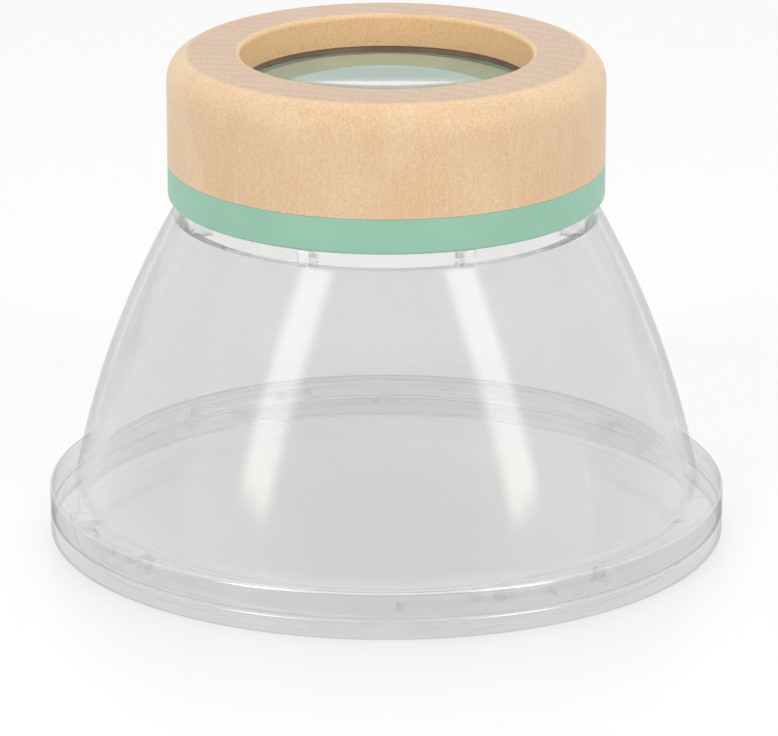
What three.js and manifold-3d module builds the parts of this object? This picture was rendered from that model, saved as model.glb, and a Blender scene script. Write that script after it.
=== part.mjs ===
// A bug viewer: a clear bell on a clear base plate, with a magnifying lens in a turned wooden collar on top.
// Millimetres. Z is the axis of every round piece, Z = 0 is the surface it stands on, and -Y is its front.
import * as THREE from "three";
import { mergeVertices } from "three/addons/utils/BufferGeometryUtils.js";
import Module from "manifold-3d";

const wasm = await Module();
wasm.setup();

// Overall sizes
const overallHeight = 94.2;
const baseRadius = 65;

// Clearances
const seatGap = 0.3; // between pieces that are seated on each other and stay still
const turnGap = 0.5; // beside the bayonet, which turns

// Base plate
const floorThickness = 1.8;
const footHeight = 0.6; // a low ring under the rim, which the viewer stands on
const footWidth = 4.5;
const rimHeight = 3.6;
const spigotWall = 2;
const lugThickness = 1.4;

// Dome: a bell standing on a flange with a skirt round it
const skirtHeight = 9; // top of the flange above the table
const skirtWall = 2;
const skirtEdgeRadius = 0.6;
const flangeThickness = 1.6;
const flangeWidth = 4.7; // from the skirt's outside in to the bell
const bellWall = 2;
const bellArcRadius = 177;
const shoulderStep = 0.9; // from the collar's outside in to the top of the bell
const windowHeight = 3.2;
const windowRibCount = 8;
const windowRibWidth = 2.6;
const windowRibDepth = 4.3;
const windowRibSetback = 0.8; // from the top of the bell in to the ribs
const neckOverlap = 0.6; // how far the neck reaches below the green ring
const neckEdge = 0.9; // plastic left round a screw's sunk seat
const neckLand = 1.6; // plastic under a screw's head

// Bayonet: angles in degrees from the front, towards +X
const bayonetCount = 4;
const lugStart = 14.5;
const lugSpan = 26;
const ledgeStart = 1.7;
const ledgeSpan = 29.3;
const stopSpan = 1.5;
const stopGap = 0.5;

// Collar: wood above, green ring below
const collarHeight = 20.9;
const collarRounding = 5.4;
const apertureRadius = 27.7;
const apertureRounding = 1;
const lipHeight = 6.4; // wood above the lens's seat
const boreCover = 2.1; // wood between the lens's bore and a screw
const bandHeight = 6.8;
const bandWall = 2.6;
const bandRounding = 0.8;
const ringSleeveWall = 2.6;

// Lens and its seal
const lensOverlap = 3.2; // how far the lens reaches under the lip
const lensRim = 2.7; // width of the flat rim that holds it
const lensEdge = 2.4;
const lensCurveRadius = 120;
const sealThickness = 0.8;
const sealSetback = 0.2;

// Screws
const screwCount = 4;
const screwFirstAngle = 45;
const screwHeadRadius = 2.5;
const screwHeadHeight = 1.7;
const screwShankRadius = 1.4;
const screwBite = 9; // length in the wood
const screwTip = 2.5;
const driveLength = 3;
const driveWidth = 0.7;
const driveDepth = 0.9;

// Fineness of the curves
const roundSegments = 60;
const screwSegments = 16;
const bellSteps = 7;
const lensSteps = 6;
const roundingSteps = 5;
const smallRoundingSteps = 3;

// Heights, from the top of the collar down
const woodBottom = overallHeight - collarHeight;
const bandTop = woodBottom - seatGap;
const bandBottom = bandTop - bandHeight;
const sillHeight = bandBottom - windowHeight;
const lipUnderside = overallHeight - lipHeight;
const sealTop = lipUnderside - seatGap;
const sealBottom = sealTop - sealThickness;
const lensRimTop = sealBottom - seatGap;
const lensRimBottom = lensRimTop - lensEdge;
const sleeveTop = lensRimBottom - seatGap;
const windowRibTop = bandBottom - seatGap;
const neckBottom = bandBottom - neckOverlap;
const screwHeadTop = neckBottom + seatGap + screwHeadHeight;
const screwSeat = screwHeadTop + seatGap;
const neckTop = screwSeat + neckLand;
const webUnderside = neckTop + seatGap;

// Heights, from the table up
const floorTop = footHeight + floorThickness;
const skirtBottom = rimHeight + seatGap;
const flangeUnderside = skirtHeight - flangeThickness;
const lugTop = flangeUnderside - seatGap;
const lugBottom = lugTop - lugThickness;
const ledgeTop = lugBottom - seatGap;

// Radii of the collar, from the lens out
const lensRadius = apertureRadius + lensOverlap;
const boreRadius = lensRadius + seatGap;
const sleeveOuter = boreRadius - seatGap;
const sleeveInner = sleeveOuter - ringSleeveWall;
const shankHoleRadius = screwShankRadius + seatGap;
const headHoleRadius = screwHeadRadius + seatGap;
const screwCircle = boreRadius + boreCover + shankHoleRadius;
const neckInner = screwCircle - headHoleRadius - neckEdge;
const neckOuter = screwCircle + headHoleRadius + neckEdge;
const recessRadius = neckOuter + seatGap;
const collarRadius = recessRadius + bandWall;

// Radii of the dome and the base plate, from the outside in
const shoulderRadius = collarRadius - shoulderStep;
const skirtInner = baseRadius - skirtWall;
const footRadius = baseRadius - flangeWidth;
const spigotOuter = footRadius - bellWall / 2 - seatGap;
const spigotInner = spigotOuter - spigotWall;
const lugOuter = skirtInner - turnGap;
const ledgeInner = spigotOuter + turnGap;

const radians = THREE.MathUtils.degToRad;

// The angle in the XY plane of a direction that is given in degrees from the front, towards +X
const fromFront = (degrees) => radians(degrees - 90);

// Points of an arc in the plane of radius and height, with angles in radians from +radius towards +height
function arc(centre, radius, from, to, steps) {
  return Array.from({ length: steps + 1 }, (_, i) => {
    const angle = from + ((to - from) * i) / steps;
    return [centre[0] + radius * Math.cos(angle), centre[1] + radius * Math.sin(angle)];
  });
}

// The centre of an arc of the given radius from p to q, on the left of the way from p to q
function arcCentre(p, q, radius) {
  const chord = [q[0] - p[0], q[1] - p[1]];
  const length = Math.hypot(...chord);
  const reach = Math.sqrt(radius ** 2 - (length / 2) ** 2) / length;
  return [(p[0] + q[0]) / 2 - chord[1] * reach, (p[1] + q[1]) / 2 + chord[0] * reach];
}

// A geometry as a solid that can be joined and cut
function solid(geometry) {
  geometry.deleteAttribute("normal");
  geometry.deleteAttribute("uv");
  const merged = mergeVertices(geometry, 1e-4);
  const mesh = new wasm.Mesh({
    numProp: 3,
    vertProperties: merged.attributes.position.array,
    triVerts: new Uint32Array(merged.index.array),
  });
  return new wasm.Manifold(mesh);
}

// A profile of [radius, height] points turned round the Z axis: up on the outside, then back down inside
function turned(profile, segments = roundSegments) {
  const points = profile.map(([radius, height]) => new THREE.Vector2(radius, height));
  return solid(new THREE.LatheGeometry(points, segments).rotateX(Math.PI / 2));
}

function turnedRing(profile) {
  return turned([...profile, profile[0]]);
}

// A block that follows the ring between two radii, two heights and two angles from the front
function ringBlock(inner, outer, bottom, top, startDegrees, spanDegrees) {
  const start = fromFront(startDegrees);
  const end = fromFront(startDegrees + spanDegrees);
  const outline = new THREE.Shape();
  outline.absarc(0, 0, outer, start, end, false);
  outline.absarc(0, 0, inner, end, start, true);
  const curveSegments = Math.max(1, Math.round((spanDegrees * roundSegments) / 360));
  const settings = { depth: top - bottom, curveSegments, bevelEnabled: false };
  return solid(new THREE.ExtrudeGeometry(outline, settings).translate(0, 0, bottom));
}

// Angles in degrees from the front of a number of even steps round the axis
function evenAngles(count, first) {
  return Array.from({ length: count }, (_, i) => first + (360 * i) / count);
}

function rod(radius, bottom, top, distance, degrees) {
  const angle = fromFront(degrees);
  const cylinder = new THREE.CylinderGeometry(radius, radius, top - bottom, screwSegments);
  cylinder.rotateX(Math.PI / 2);
  cylinder.translate(distance * Math.cos(angle), distance * Math.sin(angle), (bottom + top) / 2);
  return solid(cylinder);
}

const screwAngles = evenAngles(screwCount, screwFirstAngle);

function basePlate() {
  let plate = turned([
    [0, footHeight],
    [baseRadius - footWidth, footHeight],
    [baseRadius - footWidth, 0],
    [baseRadius, 0],
    [baseRadius, rimHeight],
    [spigotOuter, rimHeight],
    [spigotOuter, lugTop],
    [spigotInner, lugTop],
    [spigotInner, floorTop],
    [0, floorTop],
  ]);
  for (const degrees of evenAngles(bayonetCount, lugStart)) {
    plate = plate.add(ringBlock(spigotOuter - spigotWall / 2, lugOuter, lugBottom, lugTop, degrees, lugSpan));
  }
  return plate;
}

function bell() {
  const foot = [footRadius, skirtHeight];
  const shoulder = [shoulderRadius, sillHeight];
  const centre = arcCentre(foot, shoulder, bellArcRadius);
  const innerRadius = bellArcRadius - bellWall;
  const outerAngle = ([radius, height]) => Math.atan2(height - centre[1], radius - centre[0]);
  const innerAngle = (height) => Math.asin((height - centre[1]) / innerRadius);
  const edge = [baseRadius - skirtEdgeRadius, skirtHeight - skirtEdgeRadius];
  return turnedRing([
    [skirtInner, flangeUnderside],
    [skirtInner, skirtBottom],
    [baseRadius, skirtBottom],
    ...arc(edge, skirtEdgeRadius, 0, Math.PI / 2, smallRoundingSteps),
    ...arc(centre, bellArcRadius, outerAngle(foot), outerAngle(shoulder), bellSteps),
    ...arc(centre, innerRadius, innerAngle(sillHeight), innerAngle(flangeUnderside), bellSteps),
  ]);
}

function neck() {
  let flange = turnedRing([
    [neckInner, neckBottom],
    [neckOuter, neckBottom],
    [neckOuter, neckTop],
    [neckInner, neckTop],
  ]);
  for (const degrees of screwAngles) {
    const seat = rod(headHoleRadius, neckBottom - seatGap, screwSeat, screwCircle, degrees);
    const hole = rod(shankHoleRadius, neckBottom, neckTop + seatGap, screwCircle, degrees);
    flange = flange.subtract(seat).subtract(hole);
  }
  return flange;
}

function windowRib(degrees) {
  const bottom = sillHeight - bellWall / 2;
  const outer = shoulderRadius - windowRibSetback;
  const rib = new THREE.BoxGeometry(windowRibDepth, windowRibWidth, windowRibTop - bottom);
  rib.translate(outer - windowRibDepth / 2, 0, (bottom + windowRibTop) / 2);
  return solid(rib.rotateZ(fromFront(degrees)));
}

function viewingDome() {
  let dome = bell().add(neck());
  for (const degrees of evenAngles(windowRibCount, 180 / windowRibCount)) {
    dome = dome.add(windowRib(degrees));
  }
  const rootRadius = skirtInner + skirtWall / 2;
  const rootHeight = flangeUnderside + flangeThickness / 2;
  const stopStart = lugStart + lugSpan + stopGap;
  for (let i = 0; i < bayonetCount; i += 1) {
    const turn = (360 * i) / bayonetCount;
    const ledge = ringBlock(ledgeInner, rootRadius, skirtBottom, ledgeTop, ledgeStart + turn, ledgeSpan);
    const stop = ringBlock(ledgeInner, rootRadius, skirtBottom, rootHeight, stopStart + turn, stopSpan);
    dome = dome.add(ledge).add(stop);
  }
  return dome;
}

function greenRing() {
  const edge = [collarRadius - bandRounding, bandBottom + bandRounding];
  let ring = turnedRing([
    [sleeveInner, webUnderside],
    [recessRadius, webUnderside],
    [recessRadius, bandBottom],
    ...arc(edge, bandRounding, -Math.PI / 2, 0, smallRoundingSteps),
    [collarRadius, bandTop],
    [sleeveOuter, bandTop],
    [sleeveOuter, sleeveTop],
    [sleeveInner, sleeveTop],
  ]);
  for (const degrees of screwAngles) {
    ring = ring.subtract(rod(shankHoleRadius, neckTop, woodBottom, screwCircle, degrees));
  }
  return ring;
}

function woodCollar() {
  const shoulder = [collarRadius - collarRounding, overallHeight - collarRounding];
  const edge = [apertureRadius + apertureRounding, overallHeight - apertureRounding];
  let collar = turnedRing([
    [boreRadius, woodBottom],
    [collarRadius, woodBottom],
    ...arc(shoulder, collarRounding, 0, Math.PI / 2, roundingSteps),
    ...arc(edge, apertureRounding, Math.PI / 2, Math.PI, smallRoundingSteps),
    [apertureRadius, lipUnderside],
    [boreRadius, lipUnderside],
  ]);
  const holeEnd = woodBottom + screwBite + seatGap;
  for (const degrees of screwAngles) {
    collar = collar.subtract(rod(shankHoleRadius, bandTop, holeEnd, screwCircle, degrees));
  }
  return collar;
}

function magnifierLens() {
  const faceRadius = lensRadius - lensRim;
  const depth = Math.sqrt(lensCurveRadius ** 2 - faceRadius ** 2);
  const halfAngle = Math.asin(faceRadius / lensCurveRadius);
  const up = Math.PI / 2;
  return turned([
    ...arc([0, lensRimBottom + depth], lensCurveRadius, -up, halfAngle - up, lensSteps),
    [lensRadius, lensRimBottom],
    [lensRadius, lensRimTop],
    ...arc([0, lensRimTop - depth], lensCurveRadius, up - halfAngle, up, lensSteps),
  ]);
}

function lensSeal() {
  const inner = apertureRadius + sealSetback;
  return turnedRing([
    [inner, sealBottom],
    [lensRadius, sealBottom],
    [lensRadius, sealTop],
    [inner, sealTop],
  ]);
}

// A screw with its head down, on the Z axis
function screw() {
  const headBottom = screwHeadTop - screwHeadHeight;
  const shankEnd = woodBottom + screwBite;
  let body = turned(
    [
      [0, headBottom],
      [screwHeadRadius, headBottom],
      [screwHeadRadius, screwHeadTop],
      [screwShankRadius, screwHeadTop],
      [screwShankRadius, shankEnd - screwTip],
      [0, shankEnd],
    ],
    screwSegments,
  );
  for (const quarter of [0, Math.PI / 2]) {
    const slot = new THREE.BoxGeometry(driveLength, driveWidth, 2 * driveDepth);
    body = body.subtract(solid(slot.rotateZ(quarter).translate(0, 0, headBottom)));
  }
  return body;
}

const clearPlastic = { color: 0xe9eef0, roughness: 0.06, metalness: 0, transparent: true, opacity: 0.35 };
const lensPlastic = { color: 0xdfecec, roughness: 0.03, metalness: 0, transparent: true, opacity: 0.4 };
const greenPlastic = { color: 0x93c9b2, roughness: 0.5, metalness: 0 };
const paleWood = { color: 0xe6caa2, roughness: 0.62, metalness: 0 };
const darkRubber = { color: 0x4a3728, roughness: 0.7, metalness: 0 };
const zincSteel = { color: 0xb9bab6, roughness: 0.35, metalness: 1 };

// A solid as a named mesh
function piece(name, shape, look) {
  const { numProp, numVert, vertProperties, triVerts } = shape.getMesh();
  const positions = new Float32Array(numVert * 3);
  for (let i = 0; i < numVert; i += 1) {
    positions.set(vertProperties.subarray(i * numProp, i * numProp + 3), i * 3);
  }
  const geometry = new THREE.BufferGeometry();
  geometry.setAttribute("position", new THREE.BufferAttribute(positions, 3));
  geometry.setIndex(new THREE.BufferAttribute(triVerts, 1));
  geometry.computeVertexNormals();
  const mesh = new THREE.Mesh(geometry, new THREE.MeshStandardMaterial({ ...look, flatShading: true }));
  mesh.name = name;
  return mesh;
}

const viewer = new THREE.Group();
viewer.add(piece("base_plate", basePlate(), clearPlastic));

// The dome and everything fastened to it turn together on the base plate
const top = new THREE.Group();
top.add(piece("viewing_dome", viewingDome(), clearPlastic));
top.add(piece("green_ring", greenRing(), greenPlastic));
top.add(piece("wood_collar", woodCollar(), paleWood));
top.add(piece("magnifier_lens", magnifierLens(), lensPlastic));
top.add(piece("lens_seal", lensSeal(), darkRubber));
screwAngles.forEach((degrees, i) => {
  const fastener = piece(`screw_${i + 1}`, screw(), zincSteel);
  const angle = fromFront(degrees);
  fastener.position.set(screwCircle * Math.cos(angle), screwCircle * Math.sin(angle), 0);
  fastener.rotation.z = angle;
  top.add(fastener);
});
viewer.add(top);

export default viewer;
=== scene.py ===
from math import asin, atan2, cos, pi, radians, sin, sqrt, tan

import bmesh
import bpy
from mathutils import Matrix, Vector


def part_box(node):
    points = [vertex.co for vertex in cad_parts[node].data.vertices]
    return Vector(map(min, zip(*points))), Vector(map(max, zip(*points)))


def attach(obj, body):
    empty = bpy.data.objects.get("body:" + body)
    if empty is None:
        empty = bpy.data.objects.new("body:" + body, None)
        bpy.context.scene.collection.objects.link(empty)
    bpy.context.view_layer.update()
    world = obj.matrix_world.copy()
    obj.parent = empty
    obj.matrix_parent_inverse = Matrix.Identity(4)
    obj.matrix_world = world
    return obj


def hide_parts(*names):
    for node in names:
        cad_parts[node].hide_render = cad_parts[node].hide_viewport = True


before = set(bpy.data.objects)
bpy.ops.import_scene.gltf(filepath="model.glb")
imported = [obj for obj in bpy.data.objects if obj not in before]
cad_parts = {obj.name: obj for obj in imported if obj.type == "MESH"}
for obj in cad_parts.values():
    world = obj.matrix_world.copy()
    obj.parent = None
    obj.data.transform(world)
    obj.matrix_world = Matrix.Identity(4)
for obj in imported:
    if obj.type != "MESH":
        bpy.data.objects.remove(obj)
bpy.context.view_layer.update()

# bug viewer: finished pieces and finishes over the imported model, metres, front at -Y
scene = bpy.context.scene
scene.view_settings.view_transform = "Standard"


def topOf(node):
    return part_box(node)[1].z


def bottomOf(node):
    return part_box(node)[0].z


def radiusOf(node):
    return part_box(node)[1].x


mm = 0.001
seatGap = 0.3 * mm        # between pieces of the model that sit still on each other
pressGap = 0.03 * mm      # what is left of it where a piece is pressed home
weldGap = 0.001 * mm      # points closer than this are one
turnSteps = 240           # round every turned piece but the screws
cornerSteps = 4           # in a moulding's rounded corner: the clear finish knows corners by this bend
aperture = 27.7 * mm      # radius of the opening over the lens
windowHeight = 3.2 * mm   # of the air windows under the green ring
flangeUnder = topOf("base_plate") + seatGap
sill = bottomOf("green_ring") - windowHeight


# node trees: sets or links a node's inputs, with a colour given as three numbers
def feed(tree, node, inputs):
    for key, value in inputs.items():
        socket = node.inputs[key]
        if isinstance(value, bpy.types.NodeSocket):
            tree.links.new(value, socket)
        elif socket.type == "RGBA":
            socket.default_value = (*value, 1.0)
        else:
            socket.default_value = value


def put(tree, kind, inputs=None, **options):
    node = tree.nodes.new(kind)
    for name, value in options.items():
        setattr(node, name, value)
    feed(tree, node, inputs or {})
    return node


def calc(tree, operation, first, second=0.0):
    return put(tree, "ShaderNodeMath", {0: first, 1: second}, operation=operation).outputs[0]


def times(tree, value, *factors):
    for factor in factors:
        value = calc(tree, "MULTIPLY", value, factor)
    return value


def wholeCalc(tree, operation, first, second):
    return put(tree, "FunctionNodeIntegerMath", {0: first, 1: second}, operation=operation).outputs[0]


def vectorCalc(tree, operation, *vectors):
    node = put(tree, "ShaderNodeVectorMath", dict(enumerate(vectors)), operation=operation)
    return node.outputs["Value"]


def axesOf(tree, vector):
    return put(tree, "ShaderNodeSeparateXYZ", {0: vector}).outputs


# a value moved from one range to another, and held at the ends
def spread(tree, value, fromMin, fromMax, toMin=0.0, toMax=1.0, curve="LINEAR"):
    return put(tree, "ShaderNodeMapRange", {
        "Value": value, "From Min": fromMin, "From Max": fromMax, "To Min": toMin, "To Max": toMax,
    }, interpolation_type=curve).outputs[0]


def mixValue(tree, amount, first, second):
    return put(tree, "ShaderNodeMix", {"Factor": amount, "A": first, "B": second}).outputs[0]


def mixColour(tree, amount, first, second):
    return put(tree, "ShaderNodeMix", {0: amount, 6: first, 7: second}, data_type="RGBA").outputs[2]


def mixShader(tree, amount, first, second):
    return put(tree, "ShaderNodeMixShader", {0: amount, 1: first.outputs[0], 2: second.outputs[0]})


def noise(tree, place, scale, detail, roughness=0.5, distortion=0.0):
    return put(tree, "ShaderNodeTexNoise", {
        "Vector": place, "Scale": scale, "Detail": detail, "Roughness": roughness, "Distortion": distortion,
    }).outputs["Fac"]


def newTree(name, kind, inputs, outputs):
    tree = bpy.data.node_groups.new(name, kind)
    for direction, sockets in (("INPUT", inputs), ("OUTPUT", outputs)):
        for label, socketType in sockets.items():
            tree.interface.new_socket(label, in_out=direction, socket_type="NodeSocket" + socketType)
    given = tree.nodes.new("NodeGroupInput").outputs
    result = tree.nodes.new("NodeGroupOutput").inputs
    return tree, given, result


# every shape tree ends in real geometry with its finish on
def endTree(tree, shape, finish, result):
    real = put(tree, "GeometryNodeRealizeInstances", {"Geometry": shape.outputs[0]})
    painted = put(tree, "GeometryNodeSetMaterial", {"Geometry": real.outputs[0], "Material": finish})
    tree.links.new(painted.outputs[0], result)


# profile in, turned piece out: the grid's columns go round, its rows follow the profile
def makeTurnTree():
    tree, given, result = newTree(
        "turned on the axis", "GeometryNodeTree",
        {"Profile": "Geometry", "Profile points": "Int", "Turn steps": "Int", "Finish": "Material"},
        {"Piece": "Geometry"},
    )
    count = given["Profile points"]
    columns = wholeCalc(tree, "ADD", given["Turn steps"], 1)
    grid = put(tree, "GeometryNodeMeshGrid", {"Vertices X": columns, "Vertices Y": count})
    index = put(tree, "GeometryNodeInputIndex").outputs[0]
    row = wholeCalc(tree, "MODULO", index, count)
    column = wholeCalc(tree, "DIVIDE_FLOOR", index, count)
    place = put(tree, "GeometryNodeInputPosition").outputs[0]
    sample = put(tree, "GeometryNodeSampleIndex", {
        "Geometry": given["Profile"], "Value": place, "Index": row,
    }, data_type="FLOAT_VECTOR", domain="POINT")
    point = axesOf(tree, sample.outputs[0])
    angle = times(tree, calc(tree, "DIVIDE", column, given["Turn steps"]), 2 * pi)
    across = times(tree, point["X"], calc(tree, "SINE", angle))
    back = times(tree, point["X"], calc(tree, "COSINE", angle), -1.0)
    spot = put(tree, "ShaderNodeCombineXYZ", {0: across, 1: back, 2: point["Z"]}).outputs[0]
    bent = put(tree, "GeometryNodeSetPosition", {"Geometry": grid.outputs["Mesh"], "Position": spot})
    closed = put(tree, "GeometryNodeMergeByDistance", {"Geometry": bent.outputs[0], "Distance": weldGap})
    endTree(tree, closed, given["Finish"], result["Piece"])
    return tree


# one shape in, the shape repeated evenly round the axis out
def makeRepeatTree():
    tree, given, result = newTree(
        "repeated round the axis", "GeometryNodeTree",
        {"Shape": "Geometry", "Count": "Int", "First angle": "Float", "Finish": "Material"},
        {"Pieces": "Geometry"},
    )
    points = put(tree, "GeometryNodePoints", {"Count": given["Count"]})
    index = put(tree, "GeometryNodeInputIndex").outputs[0]
    turn = times(tree, calc(tree, "DIVIDE", index, given["Count"]), 2 * pi)
    angle = calc(tree, "ADD", turn, given["First angle"])
    rotation = put(tree, "ShaderNodeCombineXYZ", {2: angle}).outputs[0]
    copies = put(tree, "GeometryNodeInstanceOnPoints", {
        "Points": points.outputs[0], "Instance": given["Shape"], "Rotation": rotation})
    endTree(tree, copies, given["Finish"], result["Pieces"])
    return tree


# a ridge of square section that climbs round a screw's core
def makeThreadTree():
    tree, given, result = newTree(
        "screw thread", "GeometryNodeTree",
        {"Turns": "Float", "Turn steps": "Int", "Length": "Float", "Radius": "Float", "Ridge": "Float",
         "Finish": "Material"},
        {"Thread": "Geometry"},
    )
    path = put(tree, "GeometryNodeCurveSpiral", {
        "Resolution": given["Turn steps"], "Rotations": given["Turns"], "Start Radius": given["Radius"],
        "End Radius": given["Radius"], "Height": given["Length"]})
    section = put(tree, "GeometryNodeCurvePrimitiveCircle", {"Resolution": 4, "Radius": given["Ridge"]})
    ridge = put(tree, "GeometryNodeCurveToMesh", {
        "Curve": path.outputs[0], "Profile Curve": section.outputs[0], "Fill Caps": True})
    endTree(tree, ridge, given["Finish"], result["Thread"])
    return tree


turnTree = makeTurnTree()
repeatTree = makeRepeatTree()
threadTree = makeThreadTree()


def linked(name, data):
    piece = bpy.data.objects.new(name, data)
    scene.collection.objects.link(piece)
    return piece


def fromShape(name, shape):
    mesh = bpy.data.meshes.new(name)
    shape.to_mesh(mesh)
    shape.free()
    return linked(name, mesh)


# what the modifiers make becomes the piece's own plain mesh
def settle(piece):
    bpy.context.view_layer.update()
    made = piece.evaluated_get(bpy.context.evaluated_depsgraph_get())
    piece.data = bpy.data.meshes.new_from_object(made)
    piece.modifiers.clear()
    return piece


def runTree(piece, tree, values):
    modifier = piece.modifiers.new(tree.name, "NODES")
    modifier.node_group = tree
    for label, value in values.items():
        modifier[tree.interface.items_tree[label].identifier] = value
    return settle(piece)


def faceOutward(piece):
    shape = bmesh.new()
    shape.from_mesh(piece.data)
    bmesh.ops.recalc_face_normals(shape, faces=shape.faces)
    shape.to_mesh(piece.data)
    shape.free()
    return piece


# corners are (radius, height, rounding); each rounding becomes an arc
def rounded(corners, closed=True, steps=cornerSteps):
    points = []
    for i, (radius, height, size) in enumerate(corners):
        corner = Vector((radius, height))
        if size == 0:
            points.append(corner)
            continue
        back = (Vector(corners[i - 1][:2]) - corner).normalized()
        ahead = (Vector(corners[(i + 1) % len(corners)][:2]) - corner).normalized()
        half = back.angle(ahead) / 2
        middle = corner + (back + ahead).normalized() * (size / sin(half))
        start = corner + back * (size / tan(half)) - middle
        end = corner + ahead * (size / tan(half)) - middle
        first = atan2(start.y, start.x)
        sweep = (atan2(end.y, end.x) - first + pi) % (2 * pi) - pi
        for k in range(steps + 1):
            angle = first + sweep * k / steps
            points.append(middle + size * Vector((cos(angle), sin(angle))))
    return points + points[:1] if closed else points


# corners along an arc, with the roundings of its first and last
def arcCorners(middle, radius, first, last, steps, ends=(0, 0)):
    angles = [first + (last - first) * k / steps for k in range(steps + 1)]
    corners = [(middle[0] + radius * cos(a), middle[1] + radius * sin(a), 0) for a in angles]
    corners[0] = (*corners[0][:2], ends[0])
    corners[-1] = (*corners[-1][:2], ends[1])
    return corners


def turned(name, points, finish, steps=turnSteps):
    mesh = bpy.data.meshes.new(name)
    mesh.from_pydata([(p[0], 0, p[1]) for p in points], [(i, i + 1) for i in range(len(points) - 1)], [])
    piece = linked(name, mesh)
    runTree(piece, turnTree, {"Profile points": len(points), "Turn steps": steps, "Finish": finish})
    return faceOutward(piece)


# copies evenly round the axis, the first turned by an angle in degrees
def repeated(piece, count, firstAngle, finish):
    return runTree(piece, repeatTree, {"Count": count, "First angle": radians(firstAngle), "Finish": finish})


# a block that follows the ring from the front through a span in degrees, with eased edges
def arcBlock(name, inner, outer, bottom, top, span, ease, steps):
    shape = bmesh.new()
    corners = ((inner, bottom), (outer, bottom), (outer, top), (inner, top))
    rows = []
    for k in range(steps + 1):
        angle = radians(span) * k / steps
        rows.append([shape.verts.new((r * sin(angle), -r * cos(angle), z)) for r, z in corners])
    for near, far in zip(rows, rows[1:]):
        for a in range(4):
            b = (a + 1) % 4
            shape.faces.new((near[a], near[b], far[b], far[a]))
    shape.faces.new(rows[0])
    shape.faces.new(rows[-1])
    bmesh.ops.recalc_face_normals(shape, faces=shape.faces)
    edges = [e for e in shape.edges if e.calc_face_angle() > radians(60)]   # not those between its steps
    bmesh.ops.bevel(shape, geom=edges, offset=ease, segments=cornerSteps, profile=0.5, affect="EDGES")
    return fromShape(name, shape)


def rod(name, radius, bottom, top, distance, sides=32):
    shape = bmesh.new()
    bmesh.ops.create_cone(
        shape, cap_ends=True, segments=sides, radius1=radius, radius2=radius, depth=top - bottom)
    bmesh.ops.translate(shape, verts=shape.verts, vec=(0, -distance, (bottom + top) / 2))
    return fromShape(name, shape)


# joins or cuts the piece with others, which are used up
def combine(piece, operation, others):
    for other in others:
        change = piece.modifiers.new(other.name, "BOOLEAN")
        change.operation = operation
        change.solver = "MANIFOLD"
        change.object = other
    settle(piece)
    for other in others:
        bpy.data.objects.remove(other)
    return piece


# smooth faces with crisp edges, large faces lead the shading
def smooth(piece, sharpAngle=32):
    piece.data.shade_smooth()
    piece.data.set_sharp_from_angle(angle=radians(sharpAngle))
    even = piece.modifiers.new("even shading", "WEIGHTED_NORMAL")
    even.keep_sharp = True
    return settle(piece)


def dress(piece, body, nodes):
    if piece.data.materials[0] is None:   # the tree leaves an empty first slot
        piece.data.materials.pop(index=0)
    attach(piece, body)
    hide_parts(*nodes)
    print("piece:", piece.name, len(piece.data.polygons), "faces")


# hair scratches and soft smudges of a handled polished surface
def makeMarksGroup():
    tree, given, result = newTree(
        "fine marks", "ShaderNodeTree",
        {"Place": "Vector", "Scratch scale": "Float", "Smudge scale": "Float"},
        {"Scratches": "Float", "Smudges": "Float"},
    )
    hairs = []
    for turn in ((0.3, 0.5, 0.2), (1.4, 0.1, 2.1)):   # the scratches run two ways
        lean = put(tree, "ShaderNodeMapping", {
            "Vector": given["Place"], "Rotation": turn, "Scale": (0.03, 1, 1)})
        hair = noise(tree, lean.outputs[0], given["Scratch scale"], 1.0)
        hairs.append(spread(tree, hair, 0.70, 0.76))
    tree.links.new(calc(tree, "MAXIMUM", *hairs), result["Scratches"])
    cloud = noise(tree, given["Place"], given["Smudge scale"], 4.0, 0.6)
    tree.links.new(spread(tree, cloud, 0.42, 0.75), result["Smudges"])
    return tree


# dust that settles in patches on what faces up
def makeDustGroup():
    tree, given, result = newTree(
        "settled dust", "ShaderNodeTree",
        {"Place": "Vector", "Scale": "Float", "Amount": "Float"},
        {"Dust": "Float"},
    )
    normal = axesOf(tree, put(tree, "ShaderNodeNewGeometry").outputs["Normal"])
    up = spread(tree, normal["Z"], 0.3, 1.0)
    cloud = noise(tree, given["Place"], given["Scale"], 6.0, 0.7)
    patch = spread(tree, cloud, 0.45, 0.7)
    tree.links.new(times(tree, up, patch, given["Amount"]), result["Dust"])
    return tree


# rubbed edges, broken up by noise
def makeWearGroup():
    tree, given, result = newTree(
        "rubbed edges", "ShaderNodeTree",
        {"Place": "Vector", "Scale": "Float", "Amount": "Float"},
        {"Wear": "Float"},
    )
    edge = spread(tree, put(tree, "ShaderNodeNewGeometry").outputs["Pointiness"], 0.515, 0.58)
    cloud = noise(tree, given["Place"], given["Scale"], 5.0)
    patch = spread(tree, cloud, 0.4, 0.65)
    tree.links.new(times(tree, edge, patch, given["Amount"]), result["Wear"])
    return tree


marksGroup = makeMarksGroup()
dustGroup = makeDustGroup()
wearGroup = makeWearGroup()


def blankMaterial(name):
    material = bpy.data.materials.new(name)
    material.use_nodes = True
    tree = material.node_tree
    shader = tree.nodes["Principled BSDF"]
    place = put(tree, "ShaderNodeTexCoord").outputs["Object"]
    return material, tree, shader, place


def useGroup(tree, group, inputs):
    return put(tree, "ShaderNodeGroup", inputs, node_tree=group).outputs


def marksOf(tree, place, look):
    return useGroup(tree, marksGroup, {
        "Place": place, "Scratch scale": look["scratchScale"], "Smudge scale": look["smudgeScale"]})


def dustOf(tree, place, look):
    scale, amount = look["dusty"]
    return useGroup(tree, dustGroup, {"Place": place, "Scale": scale, "Amount": amount})["Dust"]


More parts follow.
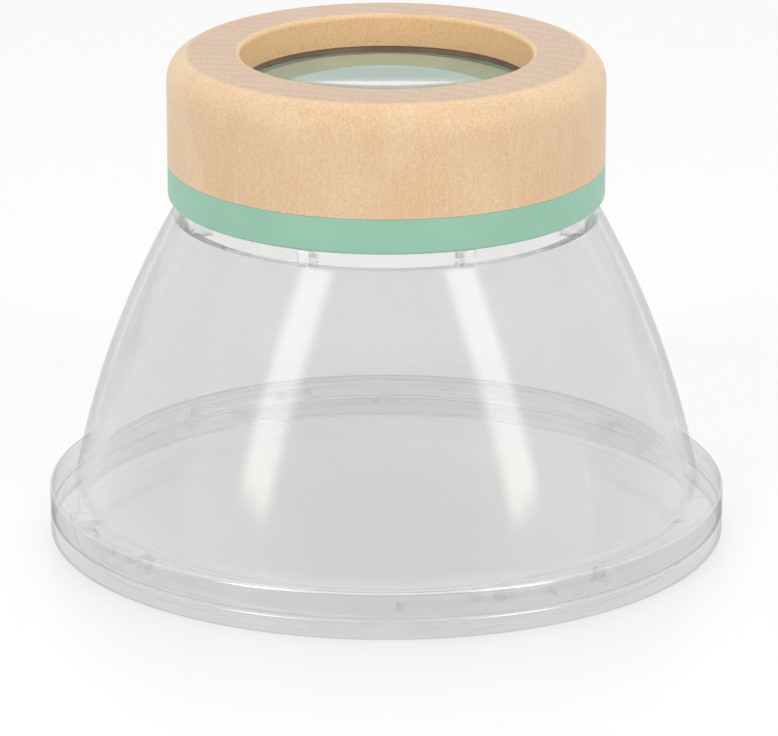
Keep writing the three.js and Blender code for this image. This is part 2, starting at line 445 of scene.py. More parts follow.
def wearOf(tree, place, look):
    scale, amount = look["wear"]
    return useGroup(tree, wearGroup, {"Place": place, "Scale": scale, "Amount": amount})["Wear"]


# from the axis of the round pieces straight out to the place
def outFromAxis(tree, axes):
    return put(tree, "ShaderNodeCombineXYZ", {0: axes["X"], 1: axes["Y"]}).outputs[0]


def setBump(tree, shader, height, strength, distance):
    bump = put(tree, "ShaderNodeBump", {"Height": height, "Strength": strength, "Distance": distance})
    feed(tree, shader, {"Normal": bump.outputs[0]})


# what clear plastic is at each place: a wall or a rim, and of a rim its skin, the neck or a rounded edge
def clearMasks(tree, place, look):
    axes = axesOf(tree, place)
    out = outFromAxis(tree, axes)
    radius = vectorCalc(tree, "LENGTH", out)
    surface = put(tree, "ShaderNodeNewGeometry").outputs
    measure = radius if look["along"] == "radius" else axes["Z"]
    low, high = look["walls"]
    within = times(tree, spread(tree, measure, *low), spread(tree, measure, *high, 1.0, 0.0))
    glancing = put(tree, "ShaderNodeLayerWeight", {"Blend": 0.5}).outputs["Facing"]
    edgeOn = spread(tree, glancing, *look["glancing"])
    outward = vectorCalc(tree, "DOT_PRODUCT", surface["Normal"], out)
    side = spread(tree, surface["Backfacing"], 0.0, 1.0, 1.0, -1.0)   # a back face shows its normal turned
    outside = calc(tree, "GREATER_THAN", times(tree, outward, side), 0.0)
    rise = spread(tree, axes["Z"], *look["edgeRise"], look["edgeLow"], 1.0)
    return {
        "wall": times(tree, within, spread(tree, axes["Z"], *look["under"])),
        "edgeOn": edgeOn,
        "outline": times(tree, edgeOn, outside, rise),   # an outer face greys, and less near its foot
        "skin": times(tree, outside, calc(tree, "GREATER_THAN", radius, look["skinRadius"])),
        "neck": calc(tree, "GREATER_THAN", axes["Z"], look["neckHeight"]),
        "corner": spread(tree, surface["Pointiness"], *look["corner"]),
        "aboveFoot": spread(tree, axes["Z"], *look["footHeight"]),
    }


# clear mouldings: lamps pass through, the eye sees polished plastic
# a share of each wall passes light unbent: little where the wall is faced, most where it is seen edge on
# a rim passes nearly all of it: its skin takes up most of the tint, and its rounded edges catch the softboxes
def makeClear(name, look):
    material, tree, shader, place = blankMaterial(name)
    marks = marksOf(tree, place, look)
    masks = clearMasks(tree, place, look)
    wall, skin, edgeOn, outline = masks["wall"], masks["skin"], masks["edgeOn"], masks["outline"]

    smudged = times(tree, marks["Smudges"], look["smudgeShare"])
    tint = mixColour(tree, smudged, look["colour"], look["smudgeColour"])
    tint = mixColour(tree, outline, tint, look["edgeColour"])
    tint = mixColour(tree, wall, look["rimColour"], tint)
    rough = spread(tree, wall, 0.0, 1.0, look["rimRough"], look["rough"])
    rough = calc(tree, "ADD", rough, times(tree, marks["Smudges"], look["smudgeRough"]))
    rough = calc(tree, "ADD", rough, times(tree, marks["Scratches"], look["scratchRough"]))
    feed(tree, shader, {
        "Base Color": tint, "Roughness": rough, "IOR": look["ior"],
        "Metallic": 0.0, "Transmission Weight": 1.0})
    setBump(tree, shader, times(tree, marks["Scratches"], -1.0), look["bump"], look["scratchDepth"])

    rimUnbent = mixValue(tree, skin, look["rimUnbent"], look["skinUnbent"])
    rimUnbent = mixValue(tree, masks["neck"], rimUnbent, look["neckUnbent"])
    unbent = mixValue(tree, wall, rimUnbent, spread(tree, edgeOn, 0.0, 1.0, *look["unbent"]))
    wallPass = mixColour(tree, outline, look["wallPass"], look["edgePass"])
    skinPass = mixColour(tree, edgeOn, look["skinPass"], look["skinEdgePass"])
    rimPass = mixColour(tree, masks["aboveFoot"], look["footPass"], look["rimPass"])
    rimPass = mixColour(tree, skin, rimPass, skinPass)
    straight = put(tree, "ShaderNodeBsdfTransparent", {"Color": mixColour(tree, wall, rimPass, wallPass)})

    gleam = put(tree, "ShaderNodeBsdfGlossy", {"Roughness": look["gleamRough"]})
    gleaming = times(tree, masks["corner"], mixValue(tree, wall, look["gleam"], 0.0))
    lamp = put(tree, "ShaderNodeBsdfTransparent", {"Color": look["shadow"]})
    shadowRay = put(tree, "ShaderNodeLightPath").outputs["Is Shadow Ray"]
    seen = mixShader(tree, unbent, shader, straight)
    seen = mixShader(tree, gleaming, seen, gleam)
    seen = mixShader(tree, shadowRay, seen, lamp)
    feed(tree, tree.nodes["Material Output"], {"Surface": seen.outputs[0]})
    return material


domeLook = {
    "colour": (0.855, 0.855, 0.857), "smudgeColour": (0.845, 0.845, 0.847), "smudgeShare": 0.5,
    "edgeColour": (0.78, 0.78, 0.785), "rimColour": (0.94, 0.94, 0.945),
    "wallPass": (0.915, 0.915, 0.915), "edgePass": (0.79, 0.79, 0.80),
    "rimPass": (0.955, 0.955, 0.958), "footPass": (0.985, 0.985, 0.986),
    "skinPass": (0.82, 0.82, 0.825), "skinEdgePass": (0.71, 0.71, 0.715),
    "shadow": (0.97, 0.97, 0.97),
    "along": "height",   # what the walls' two ends are measured along
    "walls": ((flangeUnder + 1.2 * mm, flangeUnder + 3.1 * mm), (sill + 0.05 * mm, sill + 0.3 * mm)),
    "under": (1.2 * mm, 1.8 * mm),   # an underside counts as a rim: light that came in by one goes out unbent
    "footHeight": (flangeUnder + 0.2 * mm, flangeUnder + 1.2 * mm),
    "edgeRise": (flangeUnder + 2.6 * mm, flangeUnder + 16.6 * mm), "edgeLow": 0.2,
    "skinRadius": radiusOf("viewing_dome") - 0.8 * mm,
    "glancing": (0.66, 0.82), "unbent": (0.05, 0.85), "rimUnbent": 0.995, "skinUnbent": 0.92,
    "neckHeight": sill / 2, "neckUnbent": 0.76,   # the neck bends more, so that its ribs show
    "corner": (0.519, 0.529), "gleam": 0.5, "gleamRough": 0.15,
    "scratchScale": 900.0, "scratchDepth": 0.02 * mm, "smudgeScale": 45.0,
    "rough": 0.0, "rimRough": 0.03, "smudgeRough": 0.02, "scratchRough": 0.1,
    "ior": 1.49, "bump": 0.05,
}
baseLook = {
    **domeLook,
    "colour": (0.965, 0.965, 0.97), "smudgeColour": (0.94, 0.94, 0.945),
    "edgeColour": (0.94, 0.94, 0.945), "rimColour": (0.93, 0.93, 0.94),
    "wallPass": (0.98, 0.98, 0.98), "edgePass": (0.97, 0.97, 0.97),
    "skinPass": (0.80, 0.80, 0.815), "skinEdgePass": (0.86, 0.86, 0.87),
    "shadow": (0.99, 0.99, 0.99),
    "along": "radius",
    "walls": ((-2 * mm, -1 * mm), (radiusOf("base_plate") - 12 * mm, radiusOf("base_plate") - 8 * mm)),
    "glancing": (0.35, 0.8), "unbent": (0.05, 0.3),
}
lensLook = {
    **domeLook,
    "colour": (0.93, 0.94, 0.94), "smudgeColour": (0.91, 0.92, 0.92),
    "edgeColour": (0.93, 0.94, 0.94), "rimColour": (0.93, 0.94, 0.94),
    "shadow": (0.96, 0.96, 0.96),
    "along": "radius", "walls": ((-2 * mm, -1 * mm), (aperture + 0.3 * mm, aperture + 2.3 * mm)),
    "unbent": (0.0, 0.0), "neckUnbent": 0.0,
    "scratchScale": 1100.0, "smudgeScale": 70.0,
    "rimRough": 0.0, "smudgeRough": 0.015, "scratchRough": 0.08,
}
domePlastic = makeClear("clear dome plastic", domeLook)
basePlastic = makeClear("clear base plastic", baseLook)
lensPlastic = makeClear("lens plastic", lensLook)

woodTop = topOf("wood_collar")
woodLook = {
    "honey": (0.80, 0.585, 0.365), "amber": (0.74, 0.49, 0.265), "cream": (0.87, 0.69, 0.475),
    # bore: painted shade and warm bounce light on the wall of the opening over the lens
    "fleck": (0.64, 0.40, 0.20), "bore": (0.98, 0.645, 0.31),
    "endGrain": (0.62, 0.445, 0.31), "endDark": (0.53, 0.355, 0.235), "endPale": (0.74, 0.57, 0.41),
    "lateWood": (0.50, 0.32, 0.20),
    "boreRadius": (aperture + 0.1 * mm, aperture + 0.5 * mm),   # inside this the wood is painted richer and warmer: painted shade and bounce light of the opening
    "footHeight": (woodTop - 22.2 * mm, woodTop - 2.2 * mm),    # and painted a little darker towards its foot, as shade where less light falls from above
    "wallShadeHeight": (woodTop - 7.2 * mm, woodTop - 3.2 * mm),     # painted shade: below the rounded edge the side is a little darker, leaving the band under the edge lighter as if lit
    "heart": (0.045, 0.11, 0.0),   # where the growth rings are centred
    "ringSpacing": 3.6 * mm,
    "fineScale": 1500.0, "patchScale": 70.0, "gritScale": 2600.0,
    "fibreStretch": 0.06, "speckStretch": 0.6,   # the smaller, the longer up the collar
    "wear": (160.0, 0.5), "rough": (0.42, 0.58), "shine": 0.4,
    "bump": 0.35, "poreDepth": 0.1 * mm, "varnish": 0.4, "varnishRough": 0.35,
}


# the place with its heights shrunk, so that a texture is drawn out up the collar
def drawnUp(tree, place, share):
    return put(tree, "ShaderNodeMapping", {"Vector": place, "Scale": (1.0, 1.0, share)}).outputs[0]


# lays colours over a ground, each by an amount that follows a measure through a range
def layered(tree, ground, layers):
    colour = ground
    for measure, measureRange, amounts, over in layers:
        colour = mixColour(tree, spread(tree, measure, *measureRange, *amounts), colour, over)
    return colour


# fibres run up the collar, so its sides show long grain and its top shows end grain; its bore and lower side
# carry painted shade
def makeWood():
    look = woodLook
    material, tree, shader, place = blankMaterial("pale wood")
    axes = axesOf(tree, place)
    radius = vectorCalc(tree, "LENGTH", outFromAxis(tree, axes))
    along = drawnUp(tree, place, look["fibreStretch"])
    partly = drawnUp(tree, place, look["speckStretch"])
    heart = put(tree, "ShaderNodeMapping", {"Vector": place, "Location": look["heart"]}).outputs[0]
    fibre = noise(tree, along, look["fineScale"], 4.0, 0.6)
    patch = noise(tree, partly, look["patchScale"], 3.0, 0.55, 0.4)
    speck = noise(tree, partly, look["fineScale"], 3.0, 0.7)
    grit = noise(tree, place, look["gritScale"], 2.0, 0.7)
    ringScale = 2 * pi / 20 / look["ringSpacing"]   # the texture counts 20 radians a unit
    rings = put(tree, "ShaderNodeTexWave", {
        "Vector": heart, "Scale": ringScale, "Distortion": 3.0, "Detail": 2.0, "Detail Scale": 0.4,
    }, wave_type="RINGS", rings_direction="Z", wave_profile="SAW").outputs["Fac"]
    pore = put(tree, "ShaderNodeTexVoronoi", {"Vector": along, "Scale": look["fineScale"]}, feature="F1")
    pores = spread(tree, pore.outputs["Distance"], 0.0, 0.16, 0.3, 0.0)

    # random patches of amber tone, plus painted shade that darkens the side towards its foot
    patchAndFootShade = calc(tree, "ADD", patch, spread(tree, axes["Z"], *look["footHeight"], 0.10, -0.03))
    side = layered(tree, look["honey"], (
        (patchAndFootShade, (0.42, 0.64), (0.0, 0.9), look["amber"]),
        (fibre, (0.42, 0.72), (0.0, 0.35), look["cream"]),
        (rings, (0.75, 1.0), (0.0, 0.12), look["amber"]),
        # painted shade: the opening's wall richer and warmer in colour
        (radius, look["boreRadius"], (0.85, 0.0), look["bore"]),
        (speck, (0.53, 0.72), (0.0, 0.4), look["fleck"]),
        (speck, (0.47, 0.30), (0.0, 0.35), look["cream"]),
        (grit, (0.51, 0.68), (0.0, 0.5), look["fleck"]),
        (grit, (0.49, 0.32), (0.0, 0.5), look["cream"]),
        # painted shade on the side below the rounded edge
        (axes["Z"], look["wallShadeHeight"], (0.2, 0.0), look["endDark"]),
    ))
    end = layered(tree, look["endGrain"], (
        (patch, (0.42, 0.7), (0.0, 0.6), look["endDark"]),
        (speck, (0.48, 0.72), (0.0, 0.6), look["endPale"]),
        (grit, (0.50, 0.66), (0.0, 1.0), look["endPale"]),
        (grit, (0.50, 0.34), (0.0, 0.9), look["endDark"]),
        (rings, (0.1, 1.0), (0.0, 0.4), look["lateWood"]),
    ))
    normal = axesOf(tree, put(tree, "ShaderNodeNewGeometry").outputs["Normal"])
    upward = calc(tree, "ABSOLUTE", normal["Z"])
    whole = mixColour(tree, spread(tree, upward, 0.93, 0.985), side, end)
    whole = mixColour(tree, pores, whole, look["endDark"])
    whole = mixColour(tree, wearOf(tree, place, look), whole, look["cream"])
    feed(tree, shader, {
        "Base Color": whole, "Roughness": spread(tree, fibre, 0.3, 0.7, *look["rough"]),
        "Specular IOR Level": look["shine"], "Coat Weight": look["varnish"],
        "Coat Roughness": look["varnishRough"]})
    relief = calc(tree, "ADD", times(tree, pores, -1.0), times(tree, speck, 0.5))
    setBump(tree, shader, relief, look["bump"], look["poreDepth"])
    return material


paleWood = makeWood()

mintLook = {
    "colour": (0.285, 0.54, 0.41), "shade": (0.255, 0.50, 0.375), "rubbed": (0.46, 0.68, 0.58),
    "dust": (0.55, 0.62, 0.58),
    "cloudScale": 120.0, "peelScale": 2600.0, "scratchScale": 1200.0, "smudgeScale": 90.0,
    "wear": (240.0, 0.45), "dusty": (300.0, 0.25), "rough": (0.4, 0.5), "wornRough": 0.15,
    "bump": 0.12, "peelDepth": 0.03 * mm,
}


# satin moulding with a faint orange-peel skin
def makeMint():
    look = mintLook
    material, tree, shader, place = blankMaterial("mint satin")
    cloud = noise(tree, place, look["cloudScale"], 4.0, 0.6)
    peel = noise(tree, place, look["peelScale"], 2.0)
    wear = wearOf(tree, place, look)
    colour = mixColour(tree, spread(tree, cloud, 0.4, 0.65, 0.0, 0.6), look["colour"], look["shade"])
    colour = mixColour(tree, wear, colour, look["rubbed"])
    colour = mixColour(tree, dustOf(tree, place, look), colour, look["dust"])
    gloss = spread(tree, marksOf(tree, place, look)["Smudges"], 0.0, 1.0, *look["rough"])
    rough = calc(tree, "ADD", gloss, times(tree, wear, look["wornRough"]))
    feed(tree, shader, {"Base Color": colour, "Roughness": rough})
    setBump(tree, shader, peel, look["bump"], look["peelDepth"])
    return material


mintSatin = makeMint()

sealLook = {
    "colour": (0.22, 0.15, 0.10), "worn": (0.31, 0.225, 0.155), "dust": (0.46, 0.38, 0.30),
    "cloudScale": 150.0, "grainScale": 1800.0, "dusty": (500.0, 0.3), "rough": (0.62, 0.82),
    "bump": 0.3, "grainDepth": 0.04 * mm,
}


def makeSeal():
    look = sealLook
    material, tree, shader, place = blankMaterial("seal rubber")
    grain = noise(tree, place, look["grainScale"], 3.0)
    cloud = noise(tree, place, look["cloudScale"], 3.0)
    colour = mixColour(tree, spread(tree, cloud, 0.4, 0.7, 0.0, 0.8), look["colour"], look["worn"])
    colour = mixColour(tree, dustOf(tree, place, look), colour, look["dust"])
    feed(tree, shader, {"Base Color": colour, "Roughness": spread(tree, grain, 0.3, 0.7, *look["rough"])})
    setBump(tree, shader, grain, look["bump"], look["grainDepth"])
    return material


sealRubber = makeSeal()

zincLook = {
    "colour": (0.60, 0.60, 0.575), "dull": (0.47, 0.46, 0.43), "bright": (0.74, 0.74, 0.72),
    "cloudScale": 420.0, "grainScale": 3500.0, "wear": (900.0, 0.8), "rough": (0.28, 0.46),
    "bump": 0.15, "grainDepth": 0.03 * mm,
}


def makeZinc():
    look = zincLook
    material, tree, shader, place = blankMaterial("zinc steel")
    cloud = noise(tree, place, look["cloudScale"], 5.0)
    grain = noise(tree, place, look["grainScale"], 2.0)
    colour = mixColour(tree, spread(tree, cloud, 0.4, 0.65), look["colour"], look["dull"])
    colour = mixColour(tree, wearOf(tree, place, look), colour, look["bright"])
    rough = spread(tree, cloud, 0.3, 0.7, *look["rough"])
    feed(tree, shader, {"Base Color": colour, "Roughness": rough, "Metallic": 1.0})
    setBump(tree, shader, grain, look["bump"], look["grainDepth"])
    return material


zincSteel = makeZinc()
print("finishes:", len(bpy.data.materials))

# base plate: clear floor with a foot ring, a rim, and a spigot that carries the bayonet's lugs
baseSizes = {
    "footHeight": 0.6 * mm, "footWidth": 4.5 * mm, "floor": 1.8 * mm,
    "spigotWall": 2 * mm, "spigotInset": 6 * mm,   # from the rim's outside in to the spigot
    "lugThickness": 1.4 * mm, "lugInset": 2.5 * mm, "lugSteps": 16,
    "lugCount": 4, "lugFirst": 14.5, "lugSpan": 26,
    "ease": 0.3 * mm,
}


def makeBase():
    size = baseSizes
    rim = radiusOf("base_plate")
    rimTop = bottomOf("viewing_dome") - seatGap
    lugTop = topOf("base_plate")
    foot = rim - size["footWidth"]
    spigot = rim - size["spigotInset"]
    inside = spigot - size["spigotWall"]
    under = size["footHeight"]
    floorTop = under + size["floor"]
    ease = size["ease"]
    outline = rounded([
        (0, under, 0), (foot, under, ease), (foot, 0, ease), (rim, 0, ease),
        (rim, rimTop, ease), (spigot, rimTop, ease), (spigot, lugTop, ease), (inside, lugTop, ease),
        (inside, floorTop, ease), (0, floorTop, 0),
    ], closed=False)
    plate = turned("clear_base", outline, basePlastic)
    lug = arcBlock(
        "lug", spigot - size["spigotWall"] / 2, rim - size["lugInset"],
        lugTop - size["lugThickness"], lugTop, size["lugSpan"], ease / 2, size["lugSteps"])
    repeated(lug, size["lugCount"], size["lugFirst"], basePlastic)
    combine(plate, "UNION", [lug])
    return smooth(plate)


dress(makeBase(), "base", ["base_plate"])

# screws: cross-head, up through the neck and the green ring into the wood
screwSizes = {
    "headRadius": 2.5 * mm, "headHeight": 1.7 * mm, "headRounding": 0.5 * mm, "headEdge": 0.15 * mm,
    "shankRadius": 1.4 * mm, "shankEase": 0.1 * mm, "tip": 2.5 * mm,
    "driveLength": 3 * mm, "driveWidth": 0.7 * mm, "driveDepth": 0.9 * mm,
    "turns": 9, "threadSteps": 20, "threadStart": 3.2 * mm, "ridge": 0.22 * mm,
    "turnSteps": 40, "sharpAngle": 40,
}
screwNodes = ["screw_1", "screw_2", "screw_3", "screw_4"]
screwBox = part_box(screwNodes[0])
screwCircle = ((screwBox[0] + screwBox[1]) / 2).xy.length
screwFirst = 45
headTop = screwBox[0].z + screwSizes["headHeight"]
headHole = screwSizes["headRadius"] + seatGap
shankHole = screwSizes["shankRadius"] + seatGap


def screwHoles(radius, bottom, top, finish):
    return repeated(rod("hole", radius, bottom, top, screwCircle), len(screwNodes), screwFirst, finish)


# one bar of the cross that the driver fits
def driveSlot(turn, bottom):
    size = screwSizes
    shape = bmesh.new()
    bmesh.ops.create_cube(shape, size=1)
    bmesh.ops.scale(
        shape, verts=shape.verts, vec=(size["driveLength"], size["driveWidth"], 2 * size["driveDepth"]))
    bmesh.ops.rotate(shape, verts=shape.verts, matrix=Matrix.Rotation(turn, 3, "Z"))
    bmesh.ops.translate(shape, verts=shape.verts, vec=(0, 0, bottom))
    return fromShape("drive", shape)


def makeScrews():
    size = screwSizes
    bottom, tip = screwBox[0].z, screwBox[1].z
    head, shank = size["headRadius"], size["shankRadius"]
    shankEnd = tip - size["tip"]
    threadStart = headTop + size["threadStart"]
    body = turned("neck_screws", rounded([
        (0, bottom, 0), (head, bottom, size["headRounding"]), (head, headTop, size["headEdge"]),
        (shank, headTop, size["shankEase"]), (shank, shankEnd, 0), (0, tip, 0),
    ], closed=False), zincSteel, size["turnSteps"])
    thread = linked("thread", bpy.data.meshes.new("thread"))
    runTree(thread, threadTree, {
        "Turns": size["turns"], "Turn steps": size["threadSteps"], "Length": shankEnd - threadStart,
        "Radius": shank, "Ridge": size["ridge"], "Finish": zincSteel})
    thread.data.transform(Matrix.Translation((0, 0, threadStart)))
    combine(body, "UNION", [faceOutward(thread)])
    combine(body, "DIFFERENCE", [driveSlot(turn, bottom) for turn in (0, pi / 2)])
    body.data.transform(Matrix.Translation((0, -screwCircle, 0)))
    repeated(body, len(screwNodes), screwFirst, zincSteel)
    return smooth(body, size["sharpAngle"])


dress(makeScrews(), "top", screwNodes)

# dome: clear bell on a flange and skirt, air windows between ribs under the neck
domeSizes = {
    "wall": 2 * mm, "arcRadius": 177 * mm, "arcSteps": 48,
    "skirtWall": 2 * mm, "skirtEdge": 0.6 * mm, "flange": 1.6 * mm, "flangeWidth": 4.7 * mm,
    "shoulderStep": 0.9 * mm,
    "ribWidth": 2.6 * mm, "ribDepth": 4.3 * mm, "ribSetback": 0.8 * mm,
    "ribCount": 8, "ribFirst": 22.5, "ribSteps": 2,
    "neckInner": 31.3 * mm, "neckOuter": 38.7 * mm, "neckOverlap": 0.6 * mm,
    "ledgeInset": 5.5 * mm, "ledgeHeight": 1.5 * mm, "ledgeCount": 4,
    "ledgeFirst": 1.7, "ledgeSpan": 29.3, "ledgeSteps": 18,
    "stopFirst": 41, "stopSpan": 1.5, "stopSteps": 2,
    "ease": 0.25 * mm,
}


def makeDome():
    size = domeSizes
    rim = radiusOf("viewing_dome")
    skirtBottom = bottomOf("viewing_dome")
    skirtTop = flangeUnder + size["flange"]
    skirtInner = rim - size["skirtWall"]
    bandBottom = bottomOf("green_ring")
    foot = Vector((rim - size["flangeWidth"], skirtTop))
    shoulder = Vector((radiusOf("wood_collar") - size["shoulderStep"], sill))
    ease = size["ease"]

    # the bell's outer wall is one arc from the foot to the shoulder, its inner wall runs beside it
    outer = size["arcRadius"]
    inner = outer - size["wall"]
    chord = shoulder - foot
    reach = sqrt(outer ** 2 - (chord.length / 2) ** 2) / chord.length
    middle = (foot + shoulder) / 2 + Vector((-chord.y, chord.x)) * reach
    outerTurn = [atan2(p.y - middle.y, p.x - middle.x) for p in (foot, shoulder)]
    innerTurn = [asin((z - middle.y) / inner) for z in (sill, flangeUnder)]
    bell = turned("clear_dome", rounded([
        (skirtInner, flangeUnder, ease), (skirtInner, skirtBottom, ease), (rim, skirtBottom, ease),
        (rim, skirtTop, size["skirtEdge"]),
        *arcCorners(middle, outer, *outerTurn, size["arcSteps"], (2 * ease, ease)),
        *arcCorners(middle, inner, *innerTurn, size["arcSteps"], (ease, ease)),
    ]), domePlastic)

    # neck that the screws hold to the green ring, and ribs that carry it
    neckInner, neckOuter = size["neckInner"], size["neckOuter"]
    neckBottom, neckTop = bandBottom - size["neckOverlap"], topOf("viewing_dome")
    neck = turned("neck", rounded([
        (neckInner, neckBottom, ease), (neckOuter, neckBottom, ease),
        (neckOuter, neckTop, ease), (neckInner, neckTop, ease),
    ]), domePlastic)
    ribOuter = shoulder.x - size["ribSetback"]
    ribSpan = size["ribWidth"] / (ribOuter - size["ribDepth"] / 2) * 180 / pi
    rib = arcBlock(
        "rib", ribOuter - size["ribDepth"], ribOuter, sill - size["wall"] / 2, bandBottom - seatGap,
        ribSpan, ease, size["ribSteps"])
    repeated(rib, size["ribCount"], size["ribFirst"] - ribSpan / 2, domePlastic)

    # ledges that the base's lugs turn in over, and a stop at the end of each
    ledgeInner = rim - size["ledgeInset"]
    root = rim - size["skirtWall"] / 2
    ledge = arcBlock(
        "ledge", ledgeInner, root, skirtBottom, skirtBottom + size["ledgeHeight"],
        size["ledgeSpan"], ease / 2, size["ledgeSteps"])
    repeated(ledge, size["ledgeCount"], size["ledgeFirst"], domePlastic)
    stop = arcBlock(
        "stop", ledgeInner, root, skirtBottom, skirtTop - size["flange"] / 2,
        size["stopSpan"], ease / 2, size["stopSteps"])
    repeated(stop, size["ledgeCount"], size["stopFirst"], domePlastic)
    combine(bell, "UNION", [neck, rib, ledge, stop])
    combine(bell, "DIFFERENCE", [
        screwHoles(headHole, neckBottom - mm, headTop + seatGap, domePlastic),
        screwHoles(shankHole, neckBottom, neckTop + mm, domePlastic),
    ])
    return smooth(bell)


dress(makeDome(), "top", ["viewing_dome"])

# green ring: the band under the wood, a web that the screws cross, and the sleeve that holds the lens
ringSizes = {
    "sleeveWall": 2.6 * mm, "bandWall": 2.6 * mm, "bandEdge": 0.8 * mm, "seamEdge": 0.06 * mm,
    "ease": 0.2 * mm,
}


def makeRing():
    size = ringSizes
    outer = radiusOf("green_ring")
    bandBottom = bottomOf("green_ring")
    bandTop = bottomOf("wood_collar") - seatGap
    webUnder = topOf("viewing_dome") + seatGap
    recess = outer - size["bandWall"]
    sleeve = radiusOf("magnifier_lens")
    bore = sleeve - size["sleeveWall"]
    sleeveTop = topOf("green_ring")
    ease = size["ease"]
    ring = turned("mint_ring", rounded([
        (bore, webUnder, ease), (recess, webUnder, ease), (recess, bandBottom, ease),
        (outer, bandBottom, size["bandEdge"]), (outer, bandTop, size["seamEdge"]), (sleeve, bandTop, ease),
        (sleeve, sleeveTop, ease), (bore, sleeveTop, ease),
    ]), mintSatin)
    combine(ring, "DIFFERENCE", [screwHoles(shankHole, webUnder - mm, bandTop + mm, mintSatin)])
    return smooth(ring)


dress(makeRing(), "top", ["green_ring"])

# collar: a turned wooden ring with a lip over the lens
collarSizes = {
    "rounding": 5.4 * mm, "roundingSteps": 10, "apertureRounding": 1 * mm, "lip": 6.4 * mm,
    "screwBite": 9 * mm, "ease": 0.2 * mm, "seamEdge": 0.06 * mm,
}


def makeCollar():
    size = collarSizes
    outer = radiusOf("wood_collar")
    bottom = bottomOf("wood_collar") - seatGap + pressGap
    bore = radiusOf("magnifier_lens") + seatGap
    lipUnder = woodTop - size["lip"]
    ease = size["ease"]
    collar = turned("turned_collar", rounded([
        (bore, bottom, ease), (outer, bottom, size["seamEdge"]),
        (outer, woodTop, size["rounding"]), (aperture, woodTop, size["apertureRounding"]),
        (aperture, lipUnder, ease), (bore, lipUnder, ease),
    ], steps=size["roundingSteps"]), paleWood)
    holeTop = bottom + size["screwBite"] + seatGap
    combine(collar, "DIFFERENCE", [screwHoles(shankHole, bottom - mm, holeTop, paleWood)])
    return smooth(collar)


dress(makeCollar(), "top", ["wood_collar"])

# seal: a thin brown ring that fills the gap between the lip and the lens
sealSizes = {"setback": 0.4 * mm, "ease": 0.12 * mm}
sealTop = topOf("lens_seal") + seatGap - pressGap
sealBottom = bottomOf("lens_seal")


def makeSealRing():
    inner = aperture + sealSizes["setback"]
    outer = radiusOf("lens_seal")
    corners = [(inner, sealBottom), (outer, sealBottom), (outer, sealTop), (inner, sealTop)]
    outline = rounded([(*corner, sealSizes["ease"]) for corner in corners])
    return smooth(turned("lens_gasket", outline, sealRubber))


dress(makeSealRing(), "top", ["lens_seal"])

# lens: two shallow curves inside a flat rim
lensSizes = {"rim": 2.7 * mm, "edge": 2.4 * mm, "curveRadius": 120 * mm, "steps": 40, "ease": 0.2 * mm}


def makeLens():
    size = lensSizes
    outer = radiusOf("magnifier_lens")
    rimTop = sealBottom - pressGap
    rimBottom = rimTop - size["edge"]
    face = outer - size["rim"]
    curve = size["curveRadius"]
    depth = sqrt(curve ** 2 - face ** 2)
    half = asin(face / curve)
    under = arcCorners((0, rimBottom + depth), curve, -pi / 2, half - pi / 2, size["steps"])
    over = arcCorners((0, rimTop - depth), curve, pi / 2 - half, pi / 2, size["steps"])
    rim = [(outer, rimBottom, size["ease"]), (outer, rimTop, size["ease"])]
    return smooth(turned("lens", rounded(under + rim + over, closed=False), lensPlastic))


dress(makeLens(), "top", ["magnifier_lens"])

# stage: pale floor, white surroundings, two tall softboxes beside the camera, one over it and one above
stageSizes = {
    "floor": 6.0, "floorDrop": 0.05 * mm,
    "floorColour": (0.965, 0.965, 0.965), "floorRough": 0.35, "floorShine": 0.25,
    "frontLift": 30, "backLight": 0.64, "frontLight": 0.67,
    "frontShine": 0.5, "shineRange": (0.3, 0.95),   # the room is darker behind the camera
}


def makeFloor():
    size = stageSizes
    half = size["floor"] / 2
    corners = [(-half, -half, 0), (half, -half, 0), (half, half, 0), (-half, half, 0)]
    mesh = bpy.data.meshes.new("studio_floor")
    mesh.from_pydata(corners, [], [(0, 1, 2, 3)])
    floor = linked("studio_floor", mesh)
    floor.location.z = -size["floorDrop"]
    material, tree, shader = blankMaterial("studio floor")[:3]
    feed(tree, shader, {
        "Base Color": size["floorColour"], "Roughness": size["floorRough"],
        "Specular IOR Level": size["floorShine"]})
    mesh.materials.append(material)


def directionOf(azimuth, elevation):
    turn, lift = radians(azimuth), radians(elevation)
    return Vector((sin(turn) * cos(lift), -cos(turn) * cos(lift), sin(lift)))


def makeWorld():
    size = stageSizes
    world = bpy.data.worlds.new("white studio")
    scene.world = world
    world.use_nodes = True
    tree = world.node_tree
    path = put(tree, "ShaderNodeLightPath").outputs
    toward = put(tree, "ShaderNodeTexCoord").outputs["Generated"]
    facing = vectorCalc(tree, "DOT_PRODUCT", toward, directionOf(0, size["frontLift"]))
    light = spread(tree, facing, -1.0, 1.0, size["backLight"], size["frontLight"])
    shine = spread(tree, facing, *size["shineRange"], 1.0, size["frontShine"])
    seen = calc(tree, "MAXIMUM", path["Is Camera Ray"], path["Is Transmission Ray"])
    strength = mixValue(tree, seen, light, 1.0)
    strength = mixValue(tree, path["Is Glossy Ray"], strength, shine)
    feed(tree, tree.nodes["Background"], {"Color": (1, 1, 1), "Strength": strength})


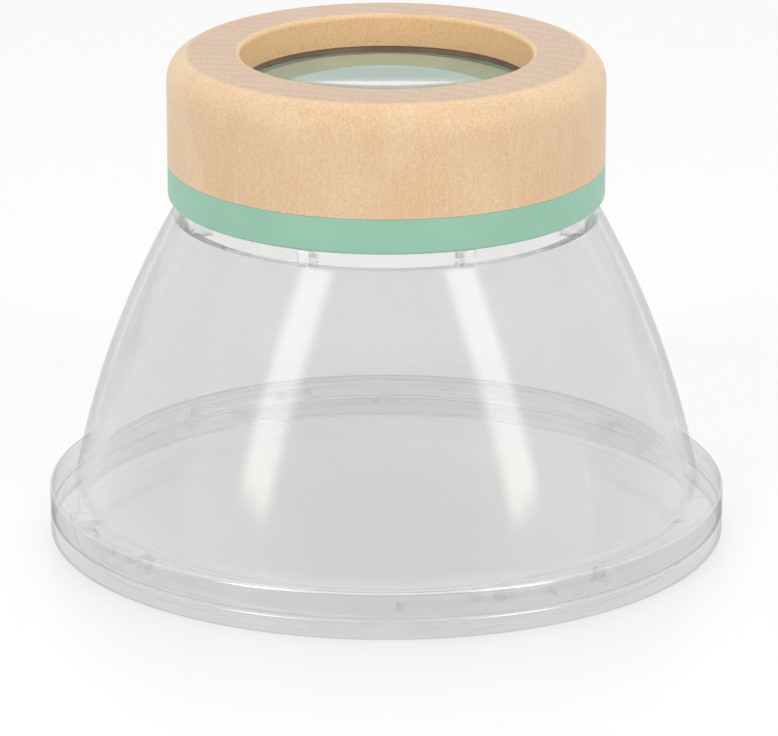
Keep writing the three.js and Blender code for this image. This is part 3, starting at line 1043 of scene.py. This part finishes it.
# a softbox stands between two directions, (azimuth, elevation) of its low and high ends
softboxes = {
    "left": {"low": (-50.5, 3), "high": (-33, 52), "away": 1.1, "width": 0.30, "watts": 3.2,
             "edges": (0.3, 0.12), "glow": (1.0, 0.9), "colour": (1.0, 0.94, 0.88)},
    "right": {"low": (52.5, 2), "high": (36, 52), "away": 1.1, "width": 0.30, "watts": 3.3,
              "edges": (0.3, 0.12), "glow": (1.0, 0.9), "colour": (1.0, 0.94, 0.88)},
    "brow": {"low": (-4, 50), "high": (-4, 72), "away": 1.1, "width": 0.7, "watts": 1.1,
             "edges": (0.3, 0.3), "glow": (1.0, 1.0), "colour": (1.0, 0.98, 0.94)},
    "above": {"low": (180, 45), "high": (0, 80), "away": 2.2, "width": 2.0, "watts": 15.0,
              "edges": (0.2, 0.2), "glow": (1.0, 1.0), "colour": (1.0, 1.0, 1.0)},
}
edgeGlow = 0.1   # of a softbox's cloth at its border, where its middle is 1


def makeSoftbox(name, box):
    low = directionOf(*box["low"]) * box["away"]
    high = directionOf(*box["high"]) * box["away"]
    lamp = bpy.data.lights.new(name, "AREA")
    lamp.shape = "RECTANGLE"
    lamp.size, lamp.size_y = box["width"], (high - low).length
    lamp.energy = box["watts"]
    lamp.color = box["colour"]
    lamp.use_nodes = True
    tree = lamp.node_tree
    cloth = axesOf(tree, put(tree, "ShaderNodeNewGeometry").outputs["Parametric"])
    glow = spread(tree, cloth["Y"], 0.0, 1.0, *box["glow"])
    for axis, edge in zip(("X", "Y"), box["edges"]):
        inward = calc(tree, "PINGPONG", cloth[axis], 0.5)
        glow = times(tree, spread(tree, inward, 0.0, edge, edgeGlow, 1.0, "SMOOTHSTEP"), glow)
    feed(tree, tree.nodes["Emission"], {"Strength": glow})

    upright = (high - low).normalized()
    side = upright.cross(high + low).normalized()
    turn = Matrix((side, upright, side.cross(upright))).transposed().to_4x4()
    aim = Vector((0, 0, woodTop / 2))
    linked(name, lamp).matrix_world = Matrix.Translation(aim + (low + high) / 2) @ turn


# camera at the height and tilt of the photograph, a long lens
cameraSizes = {
    "place": (0.49 * mm, -950 * mm, 340.5 * mm), "tilt": 71.96,
    "lens": 240.2, "sensor": 36, "clip": (0.01, 20),
}


def makeCamera():
    size = cameraSizes
    camera = bpy.data.cameras.new("photo camera")
    camera.lens = size["lens"]
    camera.sensor_width = size["sensor"]
    camera.clip_start, camera.clip_end = size["clip"]
    holder = linked("photo camera", camera)
    holder.location = size["place"]
    holder.rotation_euler = (radians(size["tilt"]), 0, 0)
    scene.camera = holder


# light crosses many clear walls in the rims
wallCrossings = 48
scene.cycles.max_bounces = wallCrossings
scene.cycles.glossy_bounces = wallCrossings
scene.cycles.transmission_bounces = wallCrossings
scene.cycles.transparent_max_bounces = wallCrossings

makeFloor()
makeWorld()
for boxName, box in softboxes.items():
    makeSoftbox("softbox " + boxName, box)
makeCamera()
print("stage: floor, world,", len(softboxes), "softboxes, camera")
